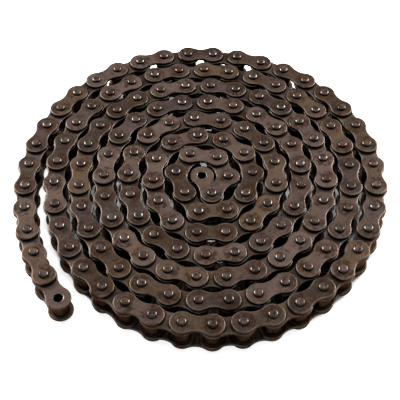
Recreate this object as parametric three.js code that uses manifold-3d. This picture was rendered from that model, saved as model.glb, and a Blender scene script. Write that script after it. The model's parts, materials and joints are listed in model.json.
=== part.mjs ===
// Motorcycle drive chain, coiled up on its side: 159 links on 160 bushes, both ends left open.
// Millimetres, +Z up. Every pin stands upright; the lower pin ends rest at z = 0.
// The six outermost links are taken down to single plates, bushes, rollers and pins. The next six
// links and the seven innermost ones are one solid each, and the coil between them is built in
// stretches of ten links.
import * as THREE from "three";
import { mergeVertices } from "three/addons/utils/BufferGeometryUtils.js";
import Module from "manifold-3d";

const wasm = await Module();
wasm.setup();

// ---- driving dimensions of the chain (5/8 inch pitch) ----
const PITCH = 15.875;
const INNER_WIDTH = 9.53; // clear width between the inner plates
const PLATE_THICKNESS = 1.8;
const PLATE_GAP = 0.2; // between an inner plate and the outer plate beside it
const INNER_END_RADIUS = 6.9; // half the height of an inner plate at its holes
const INNER_WAIST = 5.0; // half its height midway between the holes
const OUTER_END_RADIUS = 6.5;
const OUTER_WAIST = 4.5;
const PIN_RADIUS = 2.54;
const PIN_CHAMFER = 0.5;
const PIN_STAND_OUT = 1.5; // pin end beyond the outer plate
const BUSH_BORE_RADIUS = 2.8;
const BUSH_RADIUS = 3.6;
const ROLLER_BORE_RADIUS = 3.85;
const ROLLER_RADIUS = 5.08;
const ROLLER_SIDE_GAP = 0.2; // between a roller's end and the inner plate
const PRESS_GAP = 0.1; // drawn between a pressed-in piece and its hole

const INNER_FACE = INNER_WIDTH / 2; // heights over the chain's middle plane
const INNER_OUTSIDE = INNER_FACE + PLATE_THICKNESS;
const OUTER_INSIDE = INNER_OUTSIDE + PLATE_GAP;
const OUTER_OUTSIDE = OUTER_INSIDE + PLATE_THICKNESS;
const PIN_HALF_LENGTH = OUTER_OUTSIDE + PIN_STAND_OUT;
const MIDDLE_HEIGHT = PIN_HALF_LENGTH; // the chain's middle plane over the floor

// ---- how the chain lies: an oval spiral, walked in steps of one pitch ----
const COIL_CENTRE_X = 4.07;
const COIL_CENTRE_Y = -2.79;
const START_ANGLE = 3.937; // radians, seen from above, where the outer end lies
const OUTER_RADIUS = 6.728 * PITCH;
const TURN_SPACING = 0.893 * PITCH;
const OVAL = 0.133 * PITCH; // the coil is this much longer each way along OVAL_ANGLE
const OVAL_ANGLE = 1.72;
const CORNER = 0.062 * PITCH; // and this much further out at each of three soft corners
const CORNER_ANGLE = 0.33; // where the first of them lies
const TAIL_LIFT = 0.393 * PITCH; // the loose outer end stands off the next turn by this
const TAIL_FADE = 0.733; // radians of turn in which that gap closes
const SPIRAL_LINKS = 152;
// Degrees of bend at the pins after the spiral, where the inner end is folded up by hand.
const CURL_BENDS = [64.5, 11, 50, 67.5, 58, 61, 122];
const LONGEST_STEP = 1.2; // radians: no link spans more of the spiral than this
const ANGLE_TOLERANCE = 1e-7;

// ---- how the chain is shared out over the solids ----
const LINKS = 159;
const LOOSE_LINKS = 6; // taken down to single pieces
const SWING_LINKS = 12; // the last link that swings on its own
const STRETCH_LINKS = 10;
const FIRST_CURL_LINK = 153;

// ---- facets ----
const ROUND = 12;
const COARSE_ROUND = 8;
const ROLLER_FACETS = 6;
const PIN_END_FACETS = 6;
const FINE = { end: 7, waist: 4 };
const MEDIUM = { end: 5, waist: 3 };
const COARSE = { end: 3, waist: 2 };
const NOSE_TURN = Math.PI / 8; // where a stretch's round end is cut square, off its long axis
const FLATNESS = 0.001; // faces this close to one plane are merged after a boolean
const SAME_POINT = 1e-4;

const PIN_BORE = { radius: BUSH_BORE_RADIUS, facets: COARSE_ROUND };
const BUSH_SEAT = { radius: BUSH_RADIUS + PRESS_GAP, facets: ROUND };

const METALNESS = 0.85; // steel under a film of oil
const steel = (colour, roughness) =>
  new THREE.MeshStandardMaterial({ color: colour, roughness, metalness: METALNESS });
const MATERIALS = {
  plate: () => steel(0x53463d, 0.48),
  bush: () => steel(0x5e564e, 0.4),
  roller: () => steel(0x4a423b, 0.42),
  pin: () => steel(0x8a7f74, 0.32),
  coil: () => steel(0x4f4239, 0.5),
};

// ---------------------------------------------------------------- solids

function toSolid(geometry) {
  const bare = geometry.clone();
  bare.deleteAttribute("normal");
  bare.deleteAttribute("uv");
  const merged = mergeVertices(bare, SAME_POINT);
  return new wasm.Manifold(
    new wasm.Mesh({
      numProp: 3,
      vertProperties: merged.attributes.position.array,
      triVerts: new Uint32Array(merged.index.array),
    }),
  );
}

function toGeometry(solid) {
  const mesh = solid.asOriginal().simplify(FLATNESS).getMesh();
  const geometry = new THREE.BufferGeometry();
  geometry.setAttribute("position", new THREE.BufferAttribute(mesh.vertProperties, 3));
  geometry.setIndex(new THREE.BufferAttribute(mesh.triVerts, 1));
  const flat = geometry.toNonIndexed();
  flat.computeVertexNormals();
  return flat;
}

function join(solids) {
  return solids.reduce((whole, solid) => whole.add(solid));
}

// An upright cylinder at a station, from one height to another over the middle plane.
function post(station, radius, low, high, facets) {
  const geometry = new THREE.CylinderGeometry(radius, radius, high - low, facets);
  geometry.rotateX(Math.PI / 2);
  geometry.translate(station.x, station.y, (low + high) / 2);
  return geometry;
}

// A flat sheet with the given outline, from one height to another.
function sheet(shape, low, high) {
  const geometry = new THREE.ExtrudeGeometry(shape, { depth: high - low, bevelEnabled: false });
  geometry.translate(0, 0, low);
  return geometry;
}

// ---------------------------------------------------------------- layout

function spiralPoint(angle) {
  const turned = START_ANGLE - angle;
  const oval = OVAL * Math.cos(2 * (angle - OVAL_ANGLE));
  const corner = CORNER * Math.cos(3 * (angle - CORNER_ANGLE));
  const lift = TAIL_LIFT * Math.exp(-turned / TAIL_FADE);
  const round = OUTER_RADIUS - (TURN_SPACING * turned) / (2 * Math.PI);
  const radius = round + oval + corner + lift;
  return new THREE.Vector2(
    COIL_CENTRE_X + radius * Math.cos(angle),
    COIL_CENTRE_Y + radius * Math.sin(angle),
  );
}

// The next angle along the spiral whose point is one pitch away, found by halving.
function nextAngle(angle) {
  const from = spiralPoint(angle);
  let near = 0;
  let far = LONGEST_STEP;
  while (far - near > ANGLE_TOLERANCE) {
    const middle = (near + far) / 2;
    if (from.distanceTo(spiralPoint(angle - middle)) < PITCH) near = middle;
    else far = middle;
  }
  return angle - near;
}

// Where each pin or open bush stands, from the outer end to the inner end.
function layOutStations() {
  const stations = [spiralPoint(START_ANGLE)];
  let angle = START_ANGLE;
  for (let link = 1; link <= SPIRAL_LINKS; link++) {
    angle = nextAngle(angle);
    stations.push(spiralPoint(angle));
  }
  let step = stations[SPIRAL_LINKS].clone().sub(stations[SPIRAL_LINKS - 1]);
  for (const bend of CURL_BENDS) {
    step = step.clone().rotateAround(new THREE.Vector2(), -THREE.MathUtils.degToRad(bend));
    stations.push(stations.at(-1).clone().add(step));
  }
  return stations;
}

const STATIONS = layOutStations();

// Link n joins station n - 1 to station n. Odd links are inner links, even ones outer links.
const linkEnds = (link) => [STATIONS[link - 1], STATIONS[link]];
const isInner = (link) => link % 2 === 1;

// Half the widths and the heights of a link's plates.
function plateSizes(link) {
  return isInner(link)
    ? { radius: INNER_END_RADIUS, waist: INNER_WAIST, low: INNER_FACE, high: INNER_OUTSIDE }
    : { radius: OUTER_END_RADIUS, waist: OUTER_WAIST, low: OUTER_INSIDE, high: OUTER_OUTSIDE };
}

// ---------------------------------------------------------------- plates

// Points of a figure-eight plate that lies along x about the origin: round ends joined by a
// hollow arc on each side that meets both ends without a corner.
function plateOutline({ radius, waist }, facets) {
  const half = PITCH / 2;
  const hollow = (half ** 2 + waist ** 2 - radius ** 2) / (2 * (radius - waist));
  const lean = Math.atan2(waist + hollow, half);
  const sweep = Math.PI - lean;
  const points = [];
  for (const side of [1, -1]) {
    for (let i = 0; i <= facets.end; i++) {
      const turn = -sweep + (2 * sweep * i) / facets.end;
      points.push([side * (half + radius * Math.cos(turn)), side * radius * Math.sin(turn)]);
    }
    for (let i = 1; i < facets.waist; i++) {
      const open = Math.PI / 2 - lean;
      const turn = open - (2 * open * i) / facets.waist;
      const x = hollow * Math.sin(turn);
      points.push([side * x, side * (waist + hollow - hollow * Math.cos(turn))]);
    }
  }
  return points;
}

// The outline of a link's plates, laid between its two stations.
function linkOutline(link, facets) {
  const [start, end] = linkEnds(link);
  const middle = start.clone().add(end).divideScalar(2);
  const heading = Math.atan2(end.y - start.y, end.x - start.x);
  return plateOutline(plateSizes(link), facets).map(([x, y]) =>
    new THREE.Vector2(x, y).rotateAround(new THREE.Vector2(), heading).add(middle),
  );
}

function circleAt(station, radius, facets) {
  const circle = new THREE.Path();
  const points = [];
  for (let i = 0; i < facets; i++) {
    const turn = (2 * Math.PI * i) / facets;
    const spoke = new THREE.Vector2(Math.sin(turn), Math.cos(turn)).multiplyScalar(radius);
    points.push(spoke.add(station));
  }
  return circle.setFromPoints(points);
}

// One plate of a link, above or below the middle plane, with a hole of the given radius at each end.
function plate(link, above, holeRadius, facets, round) {
  const shape = new THREE.Shape(linkOutline(link, facets));
  shape.holes = linkEnds(link).map((station) => circleAt(station, holeRadius, round));
  const { low, high } = plateSizes(link);
  return above ? sheet(shape, low, high) : sheet(shape, -high, -low);
}

// ---------------------------------------------------------------- bushes, rollers and pins

function tube(station, boreRadius, radius, halfLength) {
  const profile = [
    new THREE.Vector2(boreRadius, -halfLength),
    new THREE.Vector2(radius, -halfLength),
    new THREE.Vector2(radius, halfLength),
    new THREE.Vector2(boreRadius, halfLength),
    new THREE.Vector2(boreRadius, -halfLength),
  ];
  return upright(new THREE.LatheGeometry(profile, ROUND), station);
}

function upright(geometry, station) {
  geometry.rotateX(Math.PI / 2);
  geometry.translate(station.x, station.y, 0);
  return geometry;
}

const bush = (station) => tube(station, BUSH_BORE_RADIUS, BUSH_RADIUS, INNER_OUTSIDE);
const roller = (station) =>
  tube(station, ROLLER_BORE_RADIUS, ROLLER_RADIUS, INNER_FACE - ROLLER_SIDE_GAP);

function pin(station) {
  const profile = [
    new THREE.Vector2(0, -PIN_HALF_LENGTH),
    new THREE.Vector2(PIN_RADIUS - PIN_CHAMFER, -PIN_HALF_LENGTH),
    new THREE.Vector2(PIN_RADIUS, -PIN_HALF_LENGTH + PIN_CHAMFER),
    new THREE.Vector2(PIN_RADIUS, PIN_HALF_LENGTH - PIN_CHAMFER),
    new THREE.Vector2(PIN_RADIUS - PIN_CHAMFER, PIN_HALF_LENGTH),
    new THREE.Vector2(0, PIN_HALF_LENGTH),
  ];
  return upright(new THREE.LatheGeometry(profile, ROUND), station);
}

// ---------------------------------------------------------------- whole links

// One plate without its holes, above or below the middle plane.
function blankPlate(link, above, facets) {
  const shape = new THREE.Shape(linkOutline(link, facets));
  const { low, high } = plateSizes(link);
  return toSolid(above ? sheet(shape, low, high) : sheet(shape, -high, -low));
}

const blankPlates = (link) => [blankPlate(link, true, MEDIUM), blankPlate(link, false, MEDIUM)];

// An inner link in one piece: two plates on two bushes with their rollers, bored at each end.
function solidInnerLink(link, bores) {
  const reach = INNER_FACE + PLATE_THICKNESS / 2;
  const drums = linkEnds(link).map((station) =>
    toSolid(post(station, ROLLER_RADIUS, -reach, reach, COARSE_ROUND)),
  );
  const holes = linkEnds(link).map((station, end) => {
    const { radius, facets } = bores[end];
    return toSolid(post(station, radius, -PIN_HALF_LENGTH, PIN_HALF_LENGTH, facets));
  });
  return join([...blankPlates(link), ...drums]).subtract(join(holes));
}

// An outer link in one piece: two plates on two pins.
function solidOuterLink(link) {
  const pins = linkEnds(link).map((station) =>
    toSolid(post(station, PIN_RADIUS, -PIN_HALF_LENGTH, PIN_HALF_LENGTH, COARSE_ROUND)),
  );
  return join([...blankPlates(link), ...pins]);
}

// ---------------------------------------------------------------- stretches of the coil

// The outline of a belt of joined plates between two stations: wide at each pin, narrow between.
// It reaches past an end that is a plate's round end, and stops midway along a link otherwise.
function beltShape(first, last, roundStart, roundEnd) {
  const left = [];
  const right = [];
  const add = (place, across, half) => {
    left.push(place.clone().addScaledVector(across, half));
    right.push(place.clone().addScaledVector(across, -half));
  };
  const acrossOf = (from, to) => {
    const along = to.clone().sub(from).normalize();
    return new THREE.Vector2(-along.y, along.x);
  };
  const cap = (station, from, to, sign) => {
    const along = to.clone().sub(from).normalize();
    const reach = sign * INNER_END_RADIUS * Math.cos(NOSE_TURN);
    const nose = station.clone().addScaledVector(along, reach);
    add(nose, acrossOf(from, to), INNER_END_RADIUS * Math.sin(NOSE_TURN));
  };
  if (roundStart) cap(STATIONS[first], STATIONS[first], STATIONS[first + 1], -1);
  for (let i = first; i <= last; i++) {
    const before = STATIONS[Math.max(i - 1, first)];
    const after = STATIONS[Math.min(i + 1, last)];
    const open = (i === first && !roundStart) || (i === last && !roundEnd);
    if (!open) add(STATIONS[i], acrossOf(before, after), INNER_END_RADIUS);
    if (i < last) {
      const middle = STATIONS[i].clone().add(STATIONS[i + 1]).divideScalar(2);
      add(middle, acrossOf(STATIONS[i], STATIONS[i + 1]), INNER_WAIST);
    }
  }
  if (roundEnd) cap(STATIONS[last], STATIONS[last - 1], STATIONS[last], 1);
  return new THREE.Shape([...right, ...left.reverse()]);
}

// Links first to last as one solid: a belt for the plates above and below, a post for each roller
// and the upper end of each pin. It starts with an inner link whose bush is bored for the pin of
// the stretch before, and ends with an outer link whose pin stands in the bush of the next one.
function coilStretch(first, last) {
  const startStation = first - 1;
  const inner = beltShape(startStation, last, true, false);
  const outer = beltShape(startStation, last, false, true);
  const pieces = [
    toSolid(sheet(inner, INNER_FACE, OUTER_INSIDE)),
    toSolid(sheet(inner, -OUTER_INSIDE, -INNER_FACE)),
    toSolid(sheet(outer, -OUTER_OUTSIDE, -OUTER_INSIDE)),
  ];
  for (let link = first; link <= last; link++) {
    if (!isInner(link)) pieces.push(blankPlate(link, true, COARSE));
  }
  const addPost = (station, radius, low, high, facets) =>
    pieces.push(toSolid(post(STATIONS[station], radius, low, high, facets)));
  addPost(startStation, ROLLER_RADIUS, -INNER_FACE, INNER_FACE, COARSE_ROUND);
  for (let i = first; i < last; i++) {
    addPost(i, ROLLER_RADIUS, -INNER_FACE, INNER_FACE, ROLLER_FACETS);
    addPost(i, PIN_RADIUS, OUTER_INSIDE, PIN_HALF_LENGTH, PIN_END_FACETS);
  }
  const through = (station, radius) =>
    toSolid(post(STATIONS[station], radius, -PIN_HALF_LENGTH, PIN_HALF_LENGTH, COARSE_ROUND));
  const bore = through(startStation, BUSH_BORE_RADIUS);
  const endPin = through(last, PIN_RADIUS);
  return join(pieces).subtract(bore).add(endPin);
}

// ---------------------------------------------------------------- the chain

const chain = new THREE.Group();
chain.name = "drive_chain";

const three = (link) => String(link).padStart(3, "0");

function addMesh(name, geometry, material) {
  const mesh = new THREE.Mesh(geometry, material);
  mesh.name = name;
  mesh.position.z = MIDDLE_HEIGHT;
  chain.add(mesh);
}

function addLooseLink(link) {
  const label = `link_${three(link)}`;
  const holeRadius = (isInner(link) ? BUSH_RADIUS : PIN_RADIUS) + PRESS_GAP;
  for (const above of [true, false]) {
    const place = above ? "top" : "bottom";
    const geometry = plate(link, above, holeRadius, FINE, ROUND);
    addMesh(`${label}_plate_${place}`, geometry, MATERIALS.plate());
  }
  linkEnds(link).forEach((station, end) => {
    const letter = "ab"[end];
    if (isInner(link)) {
      addMesh(`${label}_bush_${letter}`, bush(station), MATERIALS.bush());
      addMesh(`${label}_roller_${letter}`, roller(station), MATERIALS.roller());
    } else {
      addMesh(`${label}_pin_${letter}`, pin(station), MATERIALS.pin());
    }
  });
}

function addSolidLink(link) {
  const solid = isInner(link) ? solidInnerLink(link, [PIN_BORE, PIN_BORE]) : solidOuterLink(link);
  addMesh(`link_${three(link)}`, toGeometry(solid), MATERIALS.coil());
}

// The inner end's last link. Its end bush is a piece of its own, open for a connecting link's pin.
function addLastLink(link) {
  const label = `link_${three(link)}`;
  const solid = solidInnerLink(link, [PIN_BORE, BUSH_SEAT]);
  addMesh(label, toGeometry(solid), MATERIALS.coil());
  addMesh(`${label}_end_bush`, bush(linkEnds(link)[1]), MATERIALS.bush());
}

function addCoilStretch(first, last) {
  const name = `coil_links_${three(first)}_to_${three(last)}`;
  addMesh(name, toGeometry(coilStretch(first, last)), MATERIALS.coil());
}

for (let link = 1; link <= LOOSE_LINKS; link++) addLooseLink(link);
for (let link = LOOSE_LINKS + 1; link <= SWING_LINKS; link++) addSolidLink(link);
for (let first = SWING_LINKS + 1; first < FIRST_CURL_LINK; first += STRETCH_LINKS) {
  addCoilStretch(first, Math.min(first + STRETCH_LINKS, FIRST_CURL_LINK) - 1);
}
for (let link = FIRST_CURL_LINK; link < LINKS; link++) addSolidLink(link);
addLastLink(LINKS);

export default chain;
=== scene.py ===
"""Motorcycle drive chain coiled on its side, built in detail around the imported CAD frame.

Metres, +Z up. The lengths below are millimetres turned to metres by MM, so they read like the CAD's.
Every link is placed by the same spiral as the CAD and shifted on to the frame's own hinge.
"""
import json
import math
import random

import bpy
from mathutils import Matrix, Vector
from mathutils.geometry import tessellate_polygon


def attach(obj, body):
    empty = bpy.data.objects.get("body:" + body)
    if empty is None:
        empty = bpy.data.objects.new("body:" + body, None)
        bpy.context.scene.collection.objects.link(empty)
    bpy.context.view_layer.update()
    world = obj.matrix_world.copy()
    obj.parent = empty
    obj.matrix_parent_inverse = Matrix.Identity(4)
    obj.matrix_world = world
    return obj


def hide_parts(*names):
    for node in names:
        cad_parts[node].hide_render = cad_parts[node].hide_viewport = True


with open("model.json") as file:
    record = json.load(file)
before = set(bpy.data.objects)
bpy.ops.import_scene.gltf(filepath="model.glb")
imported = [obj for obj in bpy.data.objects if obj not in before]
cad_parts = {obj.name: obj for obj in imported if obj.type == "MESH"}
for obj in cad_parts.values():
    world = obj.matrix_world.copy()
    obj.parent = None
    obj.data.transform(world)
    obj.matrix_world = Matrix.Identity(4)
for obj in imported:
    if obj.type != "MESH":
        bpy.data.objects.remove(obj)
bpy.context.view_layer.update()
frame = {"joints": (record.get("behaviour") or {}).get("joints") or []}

MM = 0.001

# ---- the chain's own sizes ----
PITCH = 15.875 * MM
PLATE_THICKNESS = 1.8 * MM
PLATE_GAP = 0.2 * MM
INNER_FACE = 9.53 / 2 * MM
INNER_OUTSIDE = INNER_FACE + PLATE_THICKNESS
OUTER_INSIDE = INNER_OUTSIDE + PLATE_GAP
OUTER_OUTSIDE = OUTER_INSIDE + PLATE_THICKNESS
PIN_HALF_LENGTH = OUTER_OUTSIDE + 1.5 * MM
MIDDLE_HEIGHT = PIN_HALF_LENGTH
INNER_END_RADIUS = 6.9 * MM
INNER_WAIST = 5.0 * MM
OUTER_END_RADIUS = 6.5 * MM
OUTER_WAIST = 4.5 * MM
PIN_RADIUS = 2.54 * MM
BUSH_BORE_RADIUS = 2.62 * MM
BUSH_RADIUS = 3.6 * MM
ROLLER_BORE_RADIUS = 3.7 * MM
ROLLER_RADIUS = 5.08 * MM
ROLLER_SIDE_GAP = 0.2 * MM
HOLE_PLAY = 0.05 * MM

# ---- how it lies, as in the CAD ----
START_ANGLE = 3.937
OUTER_RADIUS = 6.728 * PITCH
TURN_SPACING = 0.893 * PITCH
OVAL = 0.133 * PITCH
OVAL_ANGLE = 1.72
CORNER = 0.062 * PITCH
CORNER_ANGLE = 0.33
TAIL_LIFT = 0.393 * PITCH
TAIL_FADE = 0.733
SPIRAL_LINKS = 152
CURL_BENDS = (64.5, 11, 50, 67.5, 58, 61, 122)

LINKS = 159
LOOSE_LINKS = 6
SWING_LINKS = 12
STRETCH_LINKS = 10
FIRST_CURL_LINK = 153
TONE_SEED = 233

# ---- smoothness ----
END_STEPS = 26
WAIST_STEPS = 10
HOLE_STEPS = 28
ROLLER_STEPS = 36
BEVEL_STEPS = 3
SHOULDER_STEPS = 8
SHOULDER_FLATNESS = 1.6  # 1 rounds a pin's shoulder, 2 cuts it as a straight chamfer
SHARP_ANGLE = math.radians(40)

# ---- camera ----
CAMERA_AIM = Vector((-0.5, -21.1, 20.1)) * MM
CAMERA_ELEVATION = math.radians(52)
CAMERA_DISTANCE = 497 * MM
LENS = 79.7
SENSOR_WIDTH = 36

# ---- floor and surroundings ----
FLOOR_HALF = 40.0
PAPER = (0.93, 0.93, 0.93, 1)
PAPER_ROUGHNESS = 0.9
TABLE_GLOW = 0.7
MASK_MIDDLE = (8.6 * MM, -0.6 * MM, 0)
MASK_EDGE = (98 * MM, 101 * MM)  # from the mask's middle: under the outermost turn, inside the tail
WORLD_STRENGTH = 0.16

# ---- colours of the steel, linear. A pair is a surface's darkest and lightest. ----
GREY_STEEL = ((0.02, 0.0122, 0.0095), (0.102, 0.069, 0.0575))
OLIVE_STEEL = ((0.019, 0.0108, 0.006), (0.094, 0.059, 0.037))
RUBBED = (0.09, 0.062, 0.046)
RUST = (0.066, 0.026, 0.0085)
CAKED_DIRT = (0.02, 0.008, 0.0035)
# painted contact shade: near-black for a ring round each pin's base and a band on the inner plate round the
# outer plate's end
PAINTED_CONTACT_SHADE = (0.006, 0.004, 0.003)
BROWNED = (0.06, 0.034, 0.017)
WORN_BRIGHT = (0.135, 0.11, 0.094)
# painted shade: near-black for the plates' upright edges, darker than the flat faces
PAINTED_EDGE_SHADE = (0.014, 0.01, 0.0072)
ROLLER_STEEL = ((0.007, 0.0046, 0.0032), (0.022, 0.0148, 0.0095))
ROLLER_TURNED = (0.045, 0.031, 0.021)
PIN_STEEL = ((0.018, 0.012, 0.0095), (0.078, 0.055, 0.045))
PIN_SHOULDER = (0.15, 0.135, 0.122)
PIN_STAIN = (0.045, 0.018, 0.007)
# painted shade: near-black for the pins' upright sides below the head
PIN_PAINTED_SIDE_SHADE = (0.008, 0.006, 0.005)
BUSH_STEEL = ((0.08, 0.062, 0.052), (0.15, 0.124, 0.106))
# painted shade: near-black for the bushes' upright sides
BUSH_PAINTED_SIDE_SHADE = (0.01, 0.008, 0.006)
# painted shade: near-black for the inside of the bush's bore
PAINTED_BORE_SHADE = (0.002, 0.0015, 0.001)
EDGE_TINT = (0.55, 0.44, 0.37, 1)  # what is left of the gloss at a grazing angle, under the oil



# ---------------------------------------------------------------- camera and stage

def add_camera():
    """Looks down on the chain from the front, from half a metre off."""
    data = bpy.data.cameras.new("camera")
    data.lens = LENS
    data.sensor_width = SENSOR_WIDTH
    camera = bpy.data.objects.new("camera", data)
    away = Vector((0, -math.cos(CAMERA_ELEVATION), math.sin(CAMERA_ELEVATION)))
    camera.location = CAMERA_AIM + away * CAMERA_DISTANCE
    camera.rotation_euler = (-away).to_track_quat("-Z", "Y").to_euler()
    bpy.context.scene.collection.objects.link(camera)
    bpy.context.scene.camera = camera


def add_softbox(name, place, size, watts, glossy=True):
    """A rectangular lamp aimed at the middle of the floor. One that isn't glossy shows in no reflection."""
    data = bpy.data.lights.new(name, "AREA")
    data.shape = "RECTANGLE"
    data.size, data.size_y = size
    data.energy = watts
    light = bpy.data.objects.new(name, data)
    light.location = place
    light.rotation_euler = (-Vector(place)).to_track_quat("-Z", "Y").to_euler()
    light.visible_glossy = glossy
    bpy.context.scene.collection.objects.link(light)


def add_floor():
    half = FLOOR_HALF
    corners = [(-half, -half, 0), (half, -half, 0), (half, half, 0), (-half, half, 0)]
    mesh = bpy.data.meshes.new("floor")
    mesh.from_pydata(corners, [], [(0, 1, 2, 3)])
    floor = bpy.data.objects.new("floor", mesh)
    bpy.context.scene.collection.objects.link(floor)
    mesh.materials.append(floor_paper())


def add_lights():
    """A wide box over the back that the plates mirror, a box at each side that the pins catch,
    and two lamps that only light what they fall on."""
    world = bpy.data.worlds.new("studio")
    world.use_nodes = True
    background = world.node_tree.nodes["Background"]
    background.inputs["Color"].default_value = (1, 1, 1, 1)
    background.inputs["Strength"].default_value = WORLD_STRENGTH
    bpy.context.scene.world = world
    bpy.context.scene.view_settings.view_transform = "Standard"
    add_softbox("overhead", (0, 0.35, 1.0), (1.8, 1.5), 6.6)
    add_softbox("top_lamp", (0, -0.02, 0.65), (0.12, 0.12), 1.2, glossy=False)
    add_softbox("front_fill", (0, -0.7, 0.5), (1.0, 0.3), 1.5, glossy=False)
    for name, side in (("left_box", -1), ("right_box", 1)):
        add_softbox(name, (side * 0.54, 0.29, 0.33), (0.3, 0.14), 7.5)


# ---------------------------------------------------------------- materials

class Nodes:
    """Short words for building one material's node tree. A value is a number or another node's output."""

    def __init__(self, name):
        self.material = bpy.data.materials.new(name)
        self.material.use_nodes = True
        self.tree = self.material.node_tree
        self.shader = self.tree.nodes["Principled BSDF"]

    def link(self, source, target):
        self.tree.links.new(source, target)

    def set(self, socket, value):
        if hasattr(value, "is_output"):
            self.link(value, socket)
        else:
            socket.default_value = value

    def math(self, operation, *values, clamp=False):
        node = self.tree.nodes.new("ShaderNodeMath")
        node.operation = operation
        node.use_clamp = clamp
        for socket, value in zip(node.inputs, values):
            self.set(socket, value)
        return node.outputs[0]

    def plus(self, one, other, clamp=False):
        return self.math("ADD", one, other, clamp=clamp)

    def minus(self, one, other, clamp=False):
        return self.math("SUBTRACT", one, other, clamp=clamp)

    def times(self, one, other):
        return self.math("MULTIPLY", one, other)

    def larger(self, one, other):
        return self.math("MAXIMUM", one, other)

    def attribute(self, name, output="Fac"):
        node = self.tree.nodes.new("ShaderNodeAttribute")
        node.attribute_name = name
        return node.outputs[output]

    def place(self):
        """The point's place in the row frame, in metres."""
        return self.tree.nodes.new("ShaderNodeTexCoord").outputs["Object"]

    def noise(self, scale, vector, detail=3.0, roughness=0.55, distortion=0.0):
        node = self.tree.nodes.new("ShaderNodeTexNoise")
        node.inputs["Scale"].default_value = scale
        node.inputs["Detail"].default_value = detail
        node.inputs["Roughness"].default_value = roughness
        node.inputs["Distortion"].default_value = distortion
        self.link(vector, node.inputs["Vector"])
        return node.outputs[0]

    def stretch(self, vector, scales):
        node = self.tree.nodes.new("ShaderNodeMapping")
        node.inputs["Scale"].default_value = scales
        self.link(vector, node.inputs["Vector"])
        return node.outputs[0]

    def ramp(self, value, low, high):
        """0 below low, 1 above high, smooth between."""
        node = self.tree.nodes.new("ShaderNodeMapRange")
        node.interpolation_type = "SMOOTHSTEP"
        node.inputs["From Min"].default_value = low
        node.inputs["From Max"].default_value = high
        self.link(value, node.inputs["Value"])
        return node.outputs["Result"]

    def mix(self, share, one, other):
        node = self.tree.nodes.new("ShaderNodeMix")
        node.data_type = "RGBA"
        self.set(node.inputs["Factor"], share)
        colours = [s for s in node.inputs if s.type == "RGBA"]
        for socket, value in zip(colours, (one, other)):
            if isinstance(value, tuple):
                value = (*value, 1)
            self.set(socket, value)
        return next(s for s in node.outputs if s.type == "RGBA")

    def bump(self, height, strength, distance):
        node = self.tree.nodes.new("ShaderNodeBump")
        node.inputs["Strength"].default_value = strength
        node.inputs["Distance"].default_value = distance
        self.link(height, node.inputs["Height"])
        self.link(node.outputs["Normal"], self.shader.inputs["Normal"])

    def finish(self, colour, roughness, metallic):
        self.link(colour, self.shader.inputs["Base Color"])
        self.link(roughness, self.shader.inputs["Roughness"])
        self.set(self.shader.inputs["Metallic"], metallic)
        self.shader.inputs["Specular Tint"].default_value = EDGE_TINT
        return self.material


def floor_paper():
    """White paper on a light table whose middle is masked where the coil stands."""
    n = Nodes("floor_paper")
    from_middle = n.tree.nodes.new("ShaderNodeVectorMath")
    from_middle.operation = "DISTANCE"
    n.link(n.place(), from_middle.inputs[0])
    from_middle.inputs[1].default_value = MASK_MIDDLE
    outside = n.ramp(from_middle.outputs["Value"], *MASK_EDGE)
    n.shader.inputs["Base Color"].default_value = PAPER
    n.shader.inputs["Roughness"].default_value = PAPER_ROUGHNESS
    n.shader.inputs["Emission Color"].default_value = (1, 1, 1, 1)
    n.link(n.times(outside, TABLE_GLOW), n.shader.inputs["Emission Strength"])
    return n.material


def link_coordinates(n):
    """The three coordinates within the link, in pitches: along it, across it, and along its pins."""
    split = n.tree.nodes.new("ShaderNodeSeparateXYZ")
    n.link(n.attribute("link_place", "Vector"), split.inputs[0])
    return split.outputs["X"], split.outputs["Y"], split.outputs["Z"]


def pin_distance(n):
    """Distance from the nearer pin's axis, in pitches."""
    along, across, _ = link_coordinates(n)
    beyond = n.minus(n.math("ABSOLUTE", along), 0.5)
    squares = n.plus(n.math("POWER", beyond, 2.0), n.math("POWER", across, 2.0))
    return n.math("SQRT", squares)


def has_pin(n):
    """0 at the two open ends of the chain, where the bush waits for a pin, and 1 at every other end."""
    along, _, _ = link_coordinates(n)
    open_end = n.math("GREATER_THAN", n.times(along, n.attribute("open_side")), 0.0)
    return n.minus(1.0, open_end)


def round_pin(n, distance, low, high):
    """1 at a pin, 0 from high outwards, in pitches from its axis, and 0 where there is no pin."""
    return n.times(n.minus(1.0, n.ramp(distance, low, high)), has_pin(n))


def contact_shade_by_outer_plate(n, distance):
    """1 on an inner plate close round the outer plate's end that lies on it: the band that gets painted
    shade.
    """
    _, _, height = link_coordinates(n)
    inner = n.math("LESS_THAN", n.math("ABSOLUTE", height), OUTER_INSIDE / PITCH)
    ring = n.minus(n.ramp(distance, 0.34, 0.4), n.ramp(distance, 0.43, 0.49), clamp=True)
    return n.times(n.times(ring, inner), has_pin(n))


def upright(n):
    """1 where the surface stands upright, as a plate's edge or a roller does, and 0 where it lies flat."""
    split = n.tree.nodes.new("ShaderNodeSeparateXYZ")
    n.link(n.tree.nodes.new("ShaderNodeNewGeometry").outputs["Normal"], split.inputs[0])
    return n.minus(1.0, n.ramp(n.math("ABSOLUTE", split.outputs["Z"]), 0.1, 0.5))


def bare_metal(n, rim, dull):
    """How metallic the surface is: fully where it is worn or upright, and dull under oil elsewhere."""
    return n.larger(dull, n.larger(rim, upright(n)))


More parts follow.
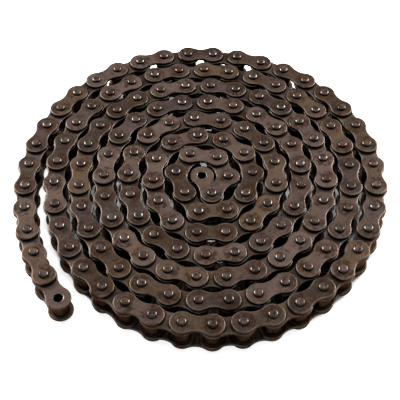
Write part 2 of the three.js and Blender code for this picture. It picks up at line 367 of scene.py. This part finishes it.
def rolled_steel(n, place, cloud, streak):
    """The plates' own colour: its shade and its hue change from link to link and in clouds."""
    tone = n.attribute("link_tone")
    mottle = n.noise(600, place, detail=4, roughness=0.7)
    shade = n.plus(n.times(cloud, 0.3), n.plus(n.times(tone, 0.25), 0.06))
    light = n.ramp(n.plus(shade, n.times(mottle, 0.35)), 0.3, 0.7)
    hue = n.math("FRACT", n.times(tone, 7.0))
    colour = n.mix(n.ramp(hue, 0.2, 0.8), n.mix(light, *OLIVE_STEEL), n.mix(light, *GREY_STEEL))
    return n.mix(n.times(n.ramp(streak, 0.5, 0.75), 0.35), colour, RUBBED)


def plate_steel():
    """Dark rolled steel with an oil film: brown-grey, rusty oil round the pins, bright worn rims, and
    painted shade round the pin bases, round the outer plates' ends and on the upright edges.
    """
    n = Nodes("plate_steel")
    place = n.place()
    cloud = n.noise(150, place, detail=5)
    streak = n.noise(9, n.stretch(n.attribute("link_place", "Vector"), (1.2, 9.0, 1.0)), detail=4)
    colour = rolled_steel(n, place, cloud, streak)

    distance = pin_distance(n)
    near = round_pin(n, distance, 0.2, 0.46)
    patch = n.noise(110, place, detail=5, distortion=0.8)
    dirty = n.ramp(n.noise(60, place, detail=1), 0.46, 0.53)
    stained = n.times(near, n.ramp(patch, 0.5, 0.6))
    rusting = n.plus(0.22, n.times(dirty, 0.65))
    colour = n.mix(n.times(stained, rusting), colour, RUST)
    crumbs = n.ramp(n.noise(380, place, detail=5, distortion=0.8), 0.42, 0.54)
    caked = n.times(n.times(n.ramp(near, 0.0, 0.3), dirty), crumbs)
    colour = n.mix(n.times(caked, 0.8), colour, CAKED_DIRT)
    # painted shade: a dark ring round each pin's base and a dark band on the inner plate round the outer
    # plate's end
    contact_shade = n.larger(round_pin(n, distance, 0.165, 0.21), contact_shade_by_outer_plate(n, distance))
    colour = n.mix(n.times(contact_shade, 0.9), colour, PAINTED_CONTACT_SHADE)

    rim = n.attribute("rim")
    browned = n.times(n.ramp(rim, 0.0, 0.4), n.ramp(patch, 0.4, 0.55))
    colour = n.mix(n.times(browned, 0.6), colour, BROWNED)
    worn = n.times(n.ramp(rim, 0.35, 1.0), n.ramp(cloud, 0.3, 0.55))
    colour = n.mix(n.times(worn, 0.8), colour, WORN_BRIGHT)
    # painted shade: the upright edges are made near black
    colour = n.mix(n.times(upright(n), 0.9), colour, PAINTED_EDGE_SHADE)

    rough = n.plus(0.26, n.times(cloud, 0.2))
    rough = n.plus(rough, n.times(worn, 0.1))
    rough = n.plus(rough, n.times(stained, 0.1), clamp=True)
    grain = n.noise(2600, place, detail=2)
    n.bump(n.plus(n.times(grain, 0.5), n.times(streak, 0.8)), 0.25, 0.05 * MM)
    return n.finish(colour, rough, bare_metal(n, rim, 0.5))


def roller_steel():
    """Hardened rollers: darker, turned smooth, with oil dried on them."""
    n = Nodes("roller_steel")
    place = n.place()
    cloud = n.noise(180, place, detail=4)
    rings = n.noise(5, n.stretch(place, (40, 40, 900)), detail=3)
    colour = n.mix(n.ramp(cloud, 0.35, 0.65), *ROLLER_STEEL)
    colour = n.mix(n.times(n.ramp(rings, 0.5, 0.7), 0.3), colour, ROLLER_TURNED)
    rough = n.plus(0.26, n.times(cloud, 0.25))
    n.bump(rings, 0.15, 0.03 * MM)
    return n.finish(colour, rough, 0.95)


def pin_steel():
    """Riveted pin ends: bright polished shoulders round a duller struck middle, with painted shade on the
    upright sides.
    """
    n = Nodes("pin_steel")
    place = n.place()
    cloud = n.noise(420, place, detail=4)
    colour = n.mix(n.ramp(cloud, 0.35, 0.65), *PIN_STEEL)
    polished = n.ramp(n.attribute("rim"), 0.5, 1.0)
    worn = n.plus(0.2, n.times(n.ramp(n.noise(70, place), 0.4, 0.65), 0.8))
    colour = n.mix(n.times(polished, worn), colour, PIN_SHOULDER)
    patch = n.ramp(n.noise(160, place, detail=5), 0.52, 0.64)
    colour = n.mix(n.times(patch, 0.6), colour, PIN_STAIN)
    # painted shade: the pin's upright sides are made near black
    colour = n.mix(n.times(upright(n), 0.95), colour, PIN_PAINTED_SIDE_SHADE)
    rough = n.minus(0.42, n.times(polished, 0.12))
    rough = n.plus(rough, n.times(cloud, 0.15))
    n.bump(n.noise(1000, place, detail=4), 0.4, 0.07 * MM)
    return n.finish(colour, rough, bare_metal(n, polished, 0.6))


def bush_steel():
    """Bush ends flush with the plate, bright where the pin has been drawn out, with painted shade on the
    upright sides and in the bore.
    """
    n = Nodes("bush_steel")
    place = n.place()
    cloud = n.noise(300, place, detail=4)
    colour = n.mix(n.ramp(cloud, 0.35, 0.65), *BUSH_STEEL)
    # painted shade: the bush's upright outside is made near black
    colour = n.mix(n.times(upright(n), 0.9), colour, BUSH_PAINTED_SIDE_SHADE)
    # painted shade: the bore's wall is made near black
    bore = n.minus(upright(n), n.ramp(n.attribute("rim"), 0.1, 0.3), clamp=True)
    colour = n.mix(bore, colour, PAINTED_BORE_SHADE)
    rough = n.plus(0.28, n.times(cloud, 0.2))
    rough = n.plus(rough, n.times(bore, 0.4), clamp=True)
    n.bump(n.noise(1500, place, detail=2), 0.15, 0.03 * MM)
    return n.finish(colour, rough, 0.8)


# ---------------------------------------------------------------- layout

def spiral_point(angle):
    turned = START_ANGLE - angle
    oval = OVAL * math.cos(2 * (angle - OVAL_ANGLE))
    corner = CORNER * math.cos(3 * (angle - CORNER_ANGLE))
    lift = TAIL_LIFT * math.exp(-turned / TAIL_FADE)
    radius = OUTER_RADIUS - TURN_SPACING * turned / (2 * math.pi) + oval + corner + lift
    return Vector((radius * math.cos(angle), radius * math.sin(angle)))


def next_angle(angle):
    """The next angle along the spiral whose point is one pitch away, found by halving."""
    widest_step = 1.2
    close_enough = 1e-7
    start = spiral_point(angle)
    near, far = 0.0, widest_step
    while far - near > close_enough:
        middle = (near + far) / 2
        if (spiral_point(angle - middle) - start).length < PITCH:
            near = middle
        else:
            far = middle
    return angle - near


def turned_by(step, degrees):
    a = math.radians(degrees)
    return Vector((
        step.x * math.cos(a) - step.y * math.sin(a),
        step.x * math.sin(a) + step.y * math.cos(a),
    ))


def lay_out_stations():
    """Where each pin or open bush stands, from the outer end to the inner end."""
    angle = START_ANGLE
    stations = [spiral_point(angle)]
    for _ in range(SPIRAL_LINKS):
        angle = next_angle(angle)
        stations.append(spiral_point(angle))
    step = stations[-1] - stations[-2]
    for bend in CURL_BENDS:
        step = turned_by(step, -bend)
        stations.append(stations[-1] + step)
    hinge = next(j for j in frame["joints"] if j["name"] == "swing_at_pin_001")
    shift = Vector(hinge["pos_m"][:2]) - stations[1]
    return [station + shift for station in stations]


STATIONS = lay_out_stations()


def is_inner(link):
    return link % 2 == 1


# ---------------------------------------------------------------- meshes

class Shell:
    """One piece's mesh while it is made, in the coordinates of its link: x along, z along the pins."""

    def __init__(self):
        self.points, self.rims, self.faces, self.slots = [], [], [], []

    def point(self, x, y, z, rim):
        self.points.append((x, y, z))
        self.rims.append(rim)
        return len(self.points) - 1

    def face(self, corners, slot):
        self.faces.append(corners)
        self.slots.append(slot)

    def ring(self, centre_x, radius, z, rim, steps):
        """A level circle of points."""
        turns = [2 * math.pi * i / steps for i in range(steps)]
        return [
            self.point(centre_x + radius * math.cos(t), radius * math.sin(t), z, rim)
            for t in turns
        ]

    def bridge(self, lower, upper, slot):
        """Quads between two rings of the same length."""
        for i in range(len(lower)):
            j = (i + 1) % len(lower)
            self.face((lower[i], lower[j], upper[j], upper[i]), slot)

    def cap(self, outline, holes, slot, up):
        """A flat face inside the outline ring and outside each hole ring."""
        rings = [outline, *holes]
        flat = [index for ring in rings for index in ring]
        loops = [[Vector((*self.points[i][:2], 0)) for i in ring] for ring in rings]
        for a, b, c in tessellate_polygon(loops):
            triangle = (flat[a], flat[b], flat[c])
            p, q, r = (Vector(self.points[i][:2]) for i in triangle)
            turns_left = (q - p).cross(r - p) > 0
            self.face(triangle if turns_left == up else triangle[::-1], slot)

    def lathe(self, centre_x, profile, steps, slot, closed_profile=False):
        """Turns (radius, z, rim) points about the upright axis at centre_x. Outward on the right
        of the profile's direction of travel, which runs upwards on an outer wall."""
        rings = []
        for radius, z, rim in profile:
            if radius == 0:
                rings.append([self.point(centre_x, 0, z, rim)] * steps)
            else:
                rings.append(self.ring(centre_x, radius, z, rim, steps))
        pairs = list(zip(rings, rings[1:]))
        if closed_profile:
            pairs.append((rings[-1], rings[0]))
        for lower, upper in pairs:
            for i in range(steps):
                j = (i + 1) % steps
                corners = [lower[i], lower[j], upper[j], upper[i]]
                kept = [c for k, c in enumerate(corners) if c not in corners[:k]]
                self.face(tuple(kept), slot)

    def attribute(self, mesh, name, values, kind="FLOAT", field="value"):
        mesh.attributes.new(name, kind, "POINT").data.foreach_set(field, values)

    def to_object(self, name, link, materials, tone):
        """Lays the piece between its link's two stations and makes it an object."""
        start, end = STATIONS[link - 1], STATIONS[link]
        middle = (start + end) / 2
        along = (end - start).normalized()
        placed = [
            (
                middle.x + x * along.x - y * along.y,
                middle.y + x * along.y + y * along.x,
                MIDDLE_HEIGHT + z,
            )
            for x, y, z in self.points
        ]
        mesh = bpy.data.meshes.new(name)
        mesh.from_pydata(placed, [], self.faces)
        for material in materials:
            mesh.materials.append(material)
        mesh.polygons.foreach_set("material_index", self.slots)
        in_pitches = [v / PITCH for p in self.points for v in p]
        self.attribute(mesh, "link_place", in_pitches, kind="FLOAT_VECTOR", field="vector")
        self.attribute(mesh, "rim", self.rims)
        self.attribute(mesh, "link_tone", [tone] * len(self.points))
        open_side = {1: -1.0, LINKS: 1.0}.get(link, 0.0)
        self.attribute(mesh, "open_side", [open_side] * len(self.points))
        mesh.shade_smooth()
        mesh.set_sharp_from_angle(angle=SHARP_ANGLE)
        mesh.validate()
        piece = bpy.data.objects.new(name, mesh)
        bpy.context.scene.collection.objects.link(piece)
        return piece


def plate_outline(radius, waist):
    """Points of a figure-eight plate with their outward normals, counter-clockwise from above."""
    half = PITCH / 2
    hollow = (half ** 2 + waist ** 2 - radius ** 2) / (2 * (radius - waist))
    lean = math.atan2(waist + hollow, half)
    sweep = math.pi - lean
    outline = []
    for side in (1, -1):
        for i in range(END_STEPS + 1):
            turn = -sweep + 2 * sweep * i / END_STEPS
            normal = Vector((side * math.cos(turn), side * math.sin(turn)))
            outline.append((Vector((side * half, 0)) + radius * normal, normal))
        reach = math.pi / 2 - lean
        for i in range(1, WAIST_STEPS):
            turn = reach - 2 * reach * i / WAIST_STEPS
            normal = Vector((-side * math.sin(turn), side * math.cos(turn)))
            centre = Vector((0, side * (waist + hollow)))
            outline.append((centre - hollow * normal, normal))
    return outline


def add_plate(shell, sizes, low, high, hole_radius, slot):
    """A punched plate with rounded rims and a slightly broken edge at each hole."""
    radius, waist = sizes
    outline = plate_outline(radius, waist)
    edge = 0.42 * MM
    rim_band = 1.15 * MM
    quarter = [math.pi / 2 * k / BEVEL_STEPS for k in range(BEVEL_STEPS + 1)]
    levels = [(rim_band, low, 0.0)]
    levels += [(edge * (1 - math.sin(a)), low + edge * (1 - math.cos(a)), 1.0) for a in quarter]
    levels += [
        (edge * (1 - math.sin(a)), high - edge * (1 - math.cos(a)), 1.0)
        for a in reversed(quarter)
    ]
    levels += [(rim_band, high, 0.0)]
    rings = []
    for inset, z, rim in levels:
        rings.append([shell.point(*(p - n * inset), z, rim) for p, n in outline])
    for lower, upper in zip(rings, rings[1:]):
        shell.bridge(lower, upper, slot)
    break_edge = 0.12 * MM
    bottoms, tops = [], []
    for centre in (-PITCH / 2, PITCH / 2):
        hole = []
        for widening, z in (
            (break_edge, low), (0, low + break_edge), (0, high - break_edge), (break_edge, high),
        ):
            hole.append(shell.ring(centre, hole_radius + widening, z, 0.0, HOLE_STEPS))
        for lower, upper in zip(hole, hole[1:]):
            shell.bridge(upper, lower, slot)
        bottoms.append(hole[0])
        tops.append(hole[-1])
    shell.cap(rings[0], bottoms, slot, up=False)
    shell.cap(rings[-1], tops, slot, up=True)


def bush_profile():
    """Closed section of a bush: up the outside, over the end face, down the eased mouth into the bore."""
    edge = 0.15 * MM
    mouth_width = 0.4 * MM
    mouth_depth = 0.24 * MM
    half = INNER_OUTSIDE
    upper = [
        (BUSH_RADIUS, half - edge, 1.0),
        (BUSH_RADIUS - edge, half, 0.3),
        (BUSH_BORE_RADIUS + mouth_width, half, 0.6),
        (BUSH_BORE_RADIUS, half - mouth_depth, 0.6),
        (BUSH_BORE_RADIUS, half - mouth_depth - edge, 0.0),
    ]
    return upper + [(r, -z, rim) for r, z, rim in reversed(upper)]


def add_roller(shell, centre_x, slot):
    half = INNER_FACE - ROLLER_SIDE_GAP
    edge = 0.35 * MM
    profile = [(ROLLER_BORE_RADIUS, -half, 0.0), (ROLLER_RADIUS - edge, -half, 0.5)]
    for k in range(1, BEVEL_STEPS + 1):
        a = math.pi / 2 * k / BEVEL_STEPS
        profile.append((ROLLER_RADIUS - edge * (1 - math.sin(a)), -half + edge * (1 - math.cos(a)), 1))
    mirrored = [(r, -z, rim) for r, z, rim in reversed(profile)]
    shell.lathe(centre_x, profile + mirrored, ROLLER_STEPS, slot, closed_profile=True)


def add_bush(shell, centre_x, slot):
    shell.lathe(centre_x, bush_profile(), HOLE_STEPS, slot, closed_profile=True)


def add_pin(shell, centre_x, slot):
    """A pin riveted over at both ends: a struck flat middle, a rounded shoulder, a slight flare."""
    top = PIN_HALF_LENGTH
    flare = 0.06 * MM
    shoulder_width = 0.7 * MM
    shoulder_drop = 0.6 * MM
    dimple = 1.3 * MM
    head_radius = PIN_RADIUS + flare
    # (radius, z, rim): the shank swells from just inside the plate's face to just above it
    head = [
        (PIN_RADIUS, OUTER_OUTSIDE - 0.1 * MM, 0.0),
        (PIN_RADIUS + 0.02 * MM, OUTER_OUTSIDE + 0.05 * MM, 0.0),
        (head_radius, OUTER_OUTSIDE + 0.4 * MM, 0.0),
    ]
    for k in range(SHOULDER_STEPS):
        a = math.pi / 2 * k / SHOULDER_STEPS
        r = head_radius - shoulder_width * (1 - math.cos(a) ** SHOULDER_FLATNESS)
        z = top - shoulder_drop * (1 - math.sin(a) ** SHOULDER_FLATNESS)
        head.append((r, z, 1.0 if k > 0 else 0.5))
    head.append((head_radius - shoulder_width, top, 0.6))
    # the struck middle is slightly dished
    head += [
        (dimple, top - 0.02 * MM, 0.0),
        (dimple * 0.6, top - 0.1 * MM, 0.0),
        (0, top - 0.13 * MM, 0.0),
    ]
    mirrored = [(r, -z, rim) for r, z, rim in reversed(head)]
    shell.lathe(centre_x, mirrored + head, HOLE_STEPS, slot)


# ---------------------------------------------------------------- links

PLATE, ROLLER, PIN, BUSH = range(4)
MATERIALS = [plate_steel(), roller_steel(), pin_steel(), bush_steel()]
ENDS = {"a": -PITCH / 2, "b": PITCH / 2}


def add_link_plate(shell, link, above):
    if is_inner(link):
        sizes, hole = (INNER_END_RADIUS, INNER_WAIST), BUSH_RADIUS + HOLE_PLAY
        low, high = INNER_FACE, INNER_OUTSIDE
    else:
        sizes, hole = (OUTER_END_RADIUS, OUTER_WAIST), PIN_RADIUS + HOLE_PLAY
        low, high = OUTER_INSIDE, OUTER_OUTSIDE
    if not above:
        low, high = -high, -low
    add_plate(shell, sizes, low, high, hole, PLATE)


def finish_piece(shell, name, link, tone, body, node):
    """Makes the piece an object that rides on its body and stands for its CAD node."""
    piece = shell.to_object(name, link, MATERIALS, tone)
    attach(piece, body)
    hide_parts(node)


def add_loose_link(link, tone):
    """An outer-end link taken down to its single pieces, each standing for its CAD node."""
    label = f"link_{link:03d}"
    body = f"swing_{label}"
    for place in ("top", "bottom"):
        shell = Shell()
        add_link_plate(shell, link, place == "top")
        name = f"{label}_plate_{place}"
        finish_piece(shell, f"{name}_steel", link, tone, body, name)
    for letter, centre_x in ENDS.items():
        if is_inner(link):
            kinds = [
                ("bush", add_bush, BUSH, body),
                ("roller", add_roller, ROLLER, f"roller_{link:03d}_{letter}"),
            ]
        else:
            kinds = [("pin", add_pin, PIN, body)]
        for kind, add, material, rides_on in kinds:
            shell = Shell()
            add(shell, centre_x, material)
            name = f"{label}_{kind}_{letter}"
            finish_piece(shell, f"{name}_steel", link, tone, rides_on, name)


def whole_link_shell(link):
    """A link in one piece, all but the last link's end bush, which is a piece of its own."""
    shell = Shell()
    for above in (True, False):
        add_link_plate(shell, link, above)
    for letter, centre_x in ENDS.items():
        if not is_inner(link):
            add_pin(shell, centre_x, PIN)
            continue
        add_roller(shell, centre_x, ROLLER)
        if (link, letter) != (LINKS, "b"):
            add_bush(shell, centre_x, BUSH)
    return shell


def body_of(link):
    if link <= SWING_LINKS:
        return f"swing_link_{link:03d}"
    return {LINKS: "inner_end_last_link", LINKS - 1: "inner_end_outer_link"}.get(link, "coil")


def node_of(link):
    """The CAD node that holds a link: its own, or the stretch of the coil that it is in."""
    if link <= SWING_LINKS or link >= FIRST_CURL_LINK:
        return f"link_{link:03d}"
    first = link - (link - SWING_LINKS - 1) % STRETCH_LINKS
    return f"coil_links_{first:03d}_to_{first + STRETCH_LINKS - 1:03d}"


def add_whole_link(link, tone):
    name = f"link_{link:03d}_steel"
    shell = whole_link_shell(link)
    finish_piece(shell, name, link, tone, body_of(link), node_of(link))


def add_end_bush(tone):
    """The open bush at the inner end, waiting for a connecting link's pin."""
    shell = Shell()
    add_bush(shell, ENDS["b"], BUSH)
    name = f"link_{LINKS:03d}_end_bush"
    finish_piece(shell, f"{name}_steel", LINKS, tone, body_of(LINKS), name)


add_camera()
add_floor()
add_lights()
chance = random.Random(TONE_SEED)
for link in range(1, LINKS + 1):
    tone = chance.random()
    if link <= LOOSE_LINKS:
        add_loose_link(link, tone)
    else:
        add_whole_link(link, tone)
add_end_bush(tone)
